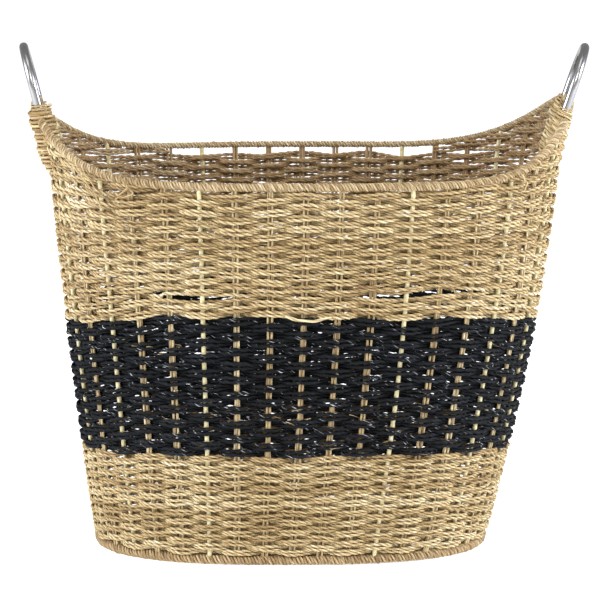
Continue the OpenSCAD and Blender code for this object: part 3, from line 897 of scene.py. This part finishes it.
def wound_path(core, radius, lead, strand, starts, per_turn=12, rough=0.10, taper=0.25):
    """Strands wound round a line of points. lead is how far one turn runs along it, rough is how
    unevenly they lie, and taper is how thin their ends are."""
    run = np.r_[0, np.cumsum(np.linalg.norm(np.diff(core, axis=0), axis=1))]
    turns = run[-1] / abs(lead)
    s = np.linspace(0, run[-1], max(8, int(turns * per_turn)))
    line = np.stack([np.interp(s, run, core[:, i]) for i in range(3)], -1)
    ahead = np.gradient(line, axis=0)
    ahead /= np.linalg.norm(ahead, axis=1, keepdims=True)
    side = np.cross(ahead, [0, 0, 1.0])
    side /= np.linalg.norm(side, axis=1, keepdims=True)
    up = np.cross(side, ahead)
    made = []
    for start in range(starts):
        t = 2 * np.pi * (s / lead + start / starts)
        wave = sum(np.sin(s * chance.uniform(*RAGGED_WAVES) + chance.uniform(0, 6))
                   for _ in range(5))
        r = radius * (1 + rough * 0.5 * wave / 2)[:, None]
        points = line + r * (np.cos(t)[:, None] * side + np.sin(t)[:, None] * up)
        thick = strand * (1 + BULGE * np.sin(s * BULGE_WAVE + start * 2) + RAGGED * wave / 2)
        thick = thick * np.clip(taper + np.minimum(s, run[-1] - s) / TAPER_LENGTH, taper, 1)
        made.append((points, thick, t * PLY_TURN))
    return made


# %% Wrap the rim and the foot
LEG_CLEAR = 5.2 * MM / EAR_PITCH
LINE_STEPS = 8  # points from one upright to the next
RIM_LEAD, FOOT_LEAD, WIRE_R = 8.0 * MM, 9.0 * MM, 2.2 * MM
FOOT_WRAP_R, FOOT_STRAND = 3.1 * MM, 1.45 * MM


def rim_line(a, b):
    k = np.linspace(a, b, max(3, int((b - a) * LINE_STEPS)))
    psi = angle_at(k)
    return wall_point(psi, rim_z(psi))


edge, inside = LEG_STEPS + LEG_CLEAR, LEG_STEPS - LEG_CLEAR
# Each wrapping runs from one number to another, with its own radius and its strands', in mm.
for name, a, b, radius, strand in (
        ("front_rim_wrap", -QUARTER + edge, QUARTER - edge, 2.75, 1.36),
        ("back_rim_wrap", QUARTER + edge, 3 * QUARTER - edge, 2.1, 1.05),
        ("right_ear_wrap", QUARTER - inside, QUARTER + inside, 2.6, 1.25),
        ("left_ear_wrap", 3 * QUARTER - inside, 3 * QUARTER + inside, 2.6, 1.25)):
    lay_cords(name + "ping", wound_path(rim_line(a, b), radius * MM, -RIM_LEAD, strand * MM, 3),
              wound, "rim_wrapping", [name], seed=50, **STRAND)

for side, a, b in (("front", -QUARTER + edge, QUARTER - edge),
                   ("back", QUARTER + edge, 3 * QUARTER - edge)):
    lay_cords(side + "_rim_core", [(rim_line(a, b), WIRE_R, 0.0)], frame_wire, "frame_wire",
              [side + "_rim_wire"], seed=52, **PLAIN)

k = np.linspace(0, UPRIGHTS, UPRIGHTS * LINE_STEPS + 1)
foot_line = wall_point(angle_at(k), WRAP_R)
foot_turns = wound_path(foot_line, FOOT_WRAP_R, -FOOT_LEAD, FOOT_STRAND, 3, taper=1.0)
lay_cords("foot_wrapping", foot_turns, wound, "rim_wrapping", ["base_wrap"], seed=55, **STRAND)

# %% [markdown]
# ## Lashings
#
# Each leg of a handle is bound into its ear with many turns of seagrass. They are wound on the
# handle's own slanted axis, and the last turns bunch up into a knob on top of the ear. A binding
# is a wrapping round a straight line, so the same function winds both.

# %% Bind the legs
def leg_axis(side, leg):
    """The foot and the direction of a handle's leg, where it enters the ear."""
    psi = float(angle_at(side * (QUARTER - LEG_STEPS)))
    x = wall_point(psi, EAR_H)[0]
    lean = side * LEAN[side]
    up = np.array([math.sin(lean), 0, math.cos(lean)])
    level = np.array([math.cos(lean), 0, -math.sin(lean)])
    twist = -side * HANDLE_TWIST
    across = -math.sin(twist) * level + math.cos(twist) * np.array([0, 1.0, 0])
    return np.array([x, 0, EAR_H]) + across * leg * LEG_APART / 2, up


# For each leg, in mm: how far the binding rises above the ear, the radius of its outer turns, and
# where those turns start and stop.
BINDINGS = {("left", "front"): (3.0, 9.2, -52, -1), ("left", "back"): (-3.0, 9.2, -50, -6),
            ("right", "front"): (-1.0, 7.2, -48, -8), ("right", "back"): (3.0, 7.4, -50, -2)}
INNER_R, INNER_LEAD, INNER_STRAND = 5.9 * MM, 2.9 * MM, 1.5 * MM
OUTER_LEAD, OUTER_STRAND = 7.2 * MM, 1.6 * MM
for side, end in ((-1, "left"), (1, "right")):
    for leg, where in ((-1, "front"), (1, "back")):
        foot, up = leg_axis(side, leg)
        top, outer_r, low, high = (value * MM for value in BINDINGS[end, where])
        t = np.linspace(-LEG_DEPTH, top, 12)[:, None]
        inner_turns = wound_path(foot + t * up, INNER_R, INNER_LEAD, INNER_STRAND, 1,
                                 per_turn=16, rough=0.12)
        t = np.linspace(low, high, 12)[:, None]
        outer_turns = wound_path(foot + t * up, outer_r, OUTER_LEAD, OUTER_STRAND, 2,
                                 per_turn=16, rough=0.20)
        lay_cords(f"{end}_{where}_binding", inner_turns + outer_turns, bound, "rim_wrapping",
                  [f"{end}_{where}_lashing"], seed=60, **STRAND)

# %% [markdown]
# ## Floor
#
# The floor is woven the same way: cords along it, over and under stakes that run across from the
# front to the back. It is flat and shows little, so its points come straight from x and y.

# %% Weave the floor
cords, crossers = [], []
FLOOR_Z, FLOOR_SWING, FLOOR_PITCH = 5.0 * MM, 2.2 * MM, 2.8 * MM
FLOOR_CORD_R, FLOOR_LAY, FLOOR_STEP = 1.65 * MM, 15 * MM, 2.8 * MM
CROSSER_R, CROSSER_STEP, CROSSER_TWIST = 1.5 * MM, 4 * MM, 40
FLOOR_DRIFT, FLOOR_WOBBLE = 0.5 * MM, 0.15 * MM
LAST_CROSSER = 8
WIRE_PLACES = (-6, -3, 3, 6)  # the CAD wires run here
CROSSER_END, CORD_END = 10 * MM, 8.5 * MM  # how far short of the foot's outline they stop
FRONT_ROOM, BACK_ROOM = 11 * MM, 10 * MM
FEWEST = 8  # points that a cord needs
ends = {n: wall_point(angle_at(n), 0.0, CROSSER_END)
        for n in range(-LAST_CROSSER, LAST_CROSSER + 1)}
for n, (x, y_end, _) in ends.items():
    if n not in WIRE_PLACES:
        y = np.arange(-abs(y_end), abs(y_end), CROSSER_STEP)
        for side in (-1, 1):
            crossers.append((np.c_[x + side * CROSSER_R + 0 * y, y, FLOOR_Z + 0 * y], CROSSER_R,
                             y * CROSSER_TWIST))
xs = np.array(sorted(x for x, _, _ in ends.values()))
for row, y in enumerate(np.arange(-0.5 * FOOT_DEPTH + FRONT_ROOM, 0.5 * FOOT_DEPTH - BACK_ROOM,
                                  FLOOR_PITCH)):
    share = (1 - min(0.999, abs(y) / (FOOT_DEPTH / 2 - CORD_END)) ** SQUARE) ** (1 / SQUARE)
    half = (FOOT_LENGTH / 2 - CORD_END) * share
    middle = RIM_X - FOOT_SHIFT
    x = np.arange(middle - half, middle + half, FLOOR_STEP)
    if len(x) < FEWEST:
        continue
    turn = np.interp(x, xs, np.arange(len(xs)), left=-0.5, right=len(xs) - 0.5)
    z = FLOOR_Z + FLOOR_SWING * np.cos(np.pi * (turn + row // 2))
    drifted = y + FLOOR_DRIFT * np.sin(x * 40 + row * 0.4) + wobble(x * 80, FLOOR_WOBBLE)
    cords.append((np.c_[x, drifted, z], FLOOR_CORD_R, x * 2 * np.pi / FLOOR_LAY))
lay_cords("floor_weft", cords, natural, "natural_weave", ["floor_weave"], seed=70)
lay_cords("floor_stakes", crossers, golden, "stakes", ["floor_weave"], seed=71)

# %% [markdown]
# ## Steel and hidden wire
#
# The CAD wires inside the foot, the ears' tops and the floor have the right shape, so they stay and
# only get a finish. The handles shine, and a tube of flat facets would break that shine up, so the
# same bend is swept once more as a smooth tube.

# %% Sweep the handles
STRAIGHT = HANDLE_REACH - LEG_APART / 2 - TUBE_R  # from the ear's top to where the arch begins
TUBE_SIDES = 28


def handle_path(side):
    """The middle line of a handle: up one leg, over the arch and down the other."""
    (front, up), (rear, _) = leg_axis(side, -1), leg_axis(side, 1)
    middle, across = (front + rear) / 2, (rear - front) / LEG_APART
    turn = np.linspace(0, np.pi, 49)[:, None]
    arch = (middle + up * STRAIGHT
            + LEG_APART / 2 * (np.sin(turn) * up - np.cos(turn) * across))
    leg = np.linspace(-LEG_DEPTH, STRAIGHT, 12)[:-1, None] * up
    return np.concatenate([front + leg, arch, (rear + leg)[::-1]])


for side, end in ((-1, "left"), (1, "right")):
    lay_cords(f"{end}_steel_handle", [(handle_path(side), TUBE_R, 0.0)], steel, "steel_tube",
              [f"{end}_handle"], sides=TUBE_SIDES, groove=0.0, upright="MINIMUM", seed=65)


# %% Finish the CAD nodes that stay
def give(node, finish):
    slots = nodes[node].material_slots
    if len(slots):
        for slot in slots:
            slot.material = finish.material
    else:
        nodes[node].data.materials.append(finish.material)


for name in nodes:
    if name.endswith("_wire") or name.startswith("cross_wire"):
        give(name, frame_wire)

# %% [markdown]
# ## Loose fibres
#
# Dry seagrass frays. Thin hairs stand out from the weave all over, a few of them long. Particle
# hair would be quicker to grow, but only real tubes are kept when the basket is exported.

# %% Fray the weave
FIBRES = 420
BAND_SPARED = 0.8  # the share of the dyed band's fibres that is left out
FIBRE_LENGTH, FIBRE_R = (3, 11), (0.18, 0.42)
FIBRE_OUT, FIBRE_RISE, FIBRE_CURL = (0.05, 0.4), (-0.35, 0.35), (-0.2, 0.2)
hairs = []
for _ in range(FIBRES):
    k, z = chance.uniform(0, UPRIGHTS), chance.uniform(FOOT_TOP, WEAVE_TOP)
    if BAND_LOW < z < BAND_HIGH and chance.random() < BAND_SPARED:
        continue
    psi = float(angle_at(k))
    start = wall_point(psi, z, -1.0 * MM * chance.uniform(-1, 1))
    size = chance.uniform(*FIBRE_LENGTH) * MM
    t = np.linspace(0, 1, 7)[:, None]
    along, out = along_wall(psi) * chance.choice([-1, 1]), outward(psi)
    up = chance.uniform(*FIBRE_RISE)
    points = (start + along * size * t + out * size * chance.uniform(*FIBRE_OUT) * t ** 2
              + np.array([0, 0, 1.0]) * size * (up * t + chance.uniform(*FIBRE_CURL) * t ** 2))
    hairs.append((points, chance.uniform(*FIBRE_R) * MM * (1.1 - t[:, 0]), 0.0))

# %% [markdown]
# ## Loose ends
#
# Where a cord ran out, the weaver tucked its end in, and a few have worked free. They hang at the
# front's left corner and at the dyed band's top edge. Each is a short cord on a given path.

# %% Loose ends
def loose_end(points, radius):
    """A strand through a few (number, height, distance in front of the wall) points, in mm."""
    marks = np.array(points, float)
    t = np.linspace(0, len(marks) - 1, 8 * len(marks))
    k, z, off = (np.interp(t, np.arange(len(marks)), marks[:, i]) for i in range(3))
    for values in (k, z, off):
        values[1:-1] = (values[:-2] + values[1:-1] * 2 + values[2:]) / 4
    return wall_point(angle_at(k), z * MM, -off * MM), radius * MM * (1.15 - 0.3 * t / t[-1]), t * 2


BAND_TOP = BAND_HIGH / MM
loose = [loose_end([(-6.6, 352, 3), (-6.3, 344, 6), (-6.0, 333, 6), (-5.8, 319, 5)], 0.8),
         loose_end([(-6.5, 352, 3), (-6.1, 344, 6), (-5.95, 336, 5)], 0.8),
         loose_end([(-5.1, 345, 2), (-4.95, 338, 4.2), (-5.2, 331, 4), (-5.35, 327, 3)], 1.2),
         loose_end([(-5.35, 333, 2.5), (-5.1, 329, 4.6), (-4.8, 333, 3.5), (-4.9, 337, 2.5)], 1.0),
         loose_end([(-0.55, BAND_TOP + 3, 3), (-0.2, BAND_TOP - 0.5, 4.5),
                    (0.3, BAND_TOP - 1.5, 4.5), (0.8, BAND_TOP + 2, 3)], 1.4),
         loose_end([(6.2, 346, 1), (6.35, 338, 4), (6.3, 331, 3)], 0.9)]
lay_cords("loose_ends", loose, natural, "natural_weave", ["upper_weave"], sides=6, groove=0.15,
          upright="MINIMUM", seed=82)
lay_cords("loose_fibres", hairs, natural, "natural_weave", ["upper_weave"], sides=4, groove=0.0,
          upright="MINIMUM", seed=80)

# %% [markdown]
# ## Stage
#
# A pale floor and soft light from large lamps on both sides keep the shadows faint. The ends of
# the basket are lit a little more than its front.

# %% Floor and light
FLOOR_HALF, FLOOR_GLOW, PAPER_WHITE = 25, 0.62, 0.93
SKY = 0.38
corners = [(x * FLOOR_HALF, y * FLOOR_HALF, 0) for x, y in ((-1, -1), (1, -1), (1, 1), (-1, 1))]
floor_mesh = bpy.data.meshes.new("floor")
floor_mesh.from_pydata(corners, [], [(0, 1, 2, 3)])
floor = bpy.data.objects.new("floor", floor_mesh)
bpy.context.collection.objects.link(floor)
paper = Finish("white_paper")
paper.set(Base_Color=(PAPER_WHITE, PAPER_WHITE, PAPER_WHITE, 1), Roughness=1.0,
          Emission_Color=(1, 1, 1, 1), Emission_Strength=FLOOR_GLOW)
floor_mesh.materials.append(paper.material)


# %% Lamps
def soft_light(name, place, size, power, colour=(1, 1, 1)):
    """A square lamp aimed at the middle of the basket: its place, side in metres and watts."""
    lamp = bpy.data.lights.new(name, "AREA")
    lamp.shape, lamp.size, lamp.energy, lamp.color = "SQUARE", size, power, colour
    light = bpy.data.objects.new(name, lamp)
    bpy.context.collection.objects.link(light)
    light.location = place
    aim = Vector(place) - Vector((0, 0, cad_high.z * 0.5))
    light.rotation_euler = aim.to_track_quat("Z", "Y").to_euler()


WARM, COOL = (1.0, 0.95, 0.87), (0.96, 1.0, 1.12)
soft_light("front_light", (0.2, -2.8, 2.2), 1.2, 40, WARM)
soft_light("left_light", (-2.6, -0.8, 1.3), 1.0, 80, COOL)
soft_light("right_light", (2.6, -0.8, 1.3), 1.0, 80, COOL)
soft_light("top_light", (0, -0.6, 2.8), 1.2, 12)
world = bpy.data.worlds.new("studio")
world.use_nodes = True
world.node_tree.nodes["Background"].inputs[0].default_value = (1, 1, 1, 1)
world.node_tree.nodes["Background"].inputs[1].default_value = SKY
bpy.context.scene.world = world
bpy.context.scene.view_settings.view_transform = "Standard"
print("lights:", [light.name for light in bpy.data.lights])

# %% [markdown]
# ## Last measures
#
# The number of triangles made and the CAD part's box are printed.

# %% Print the triangle count and the CAD box
print("triangles made:", sum(triangles.values()))
print("CAD box", [round(v, 4) for v in (*cad_low, *cad_high)])
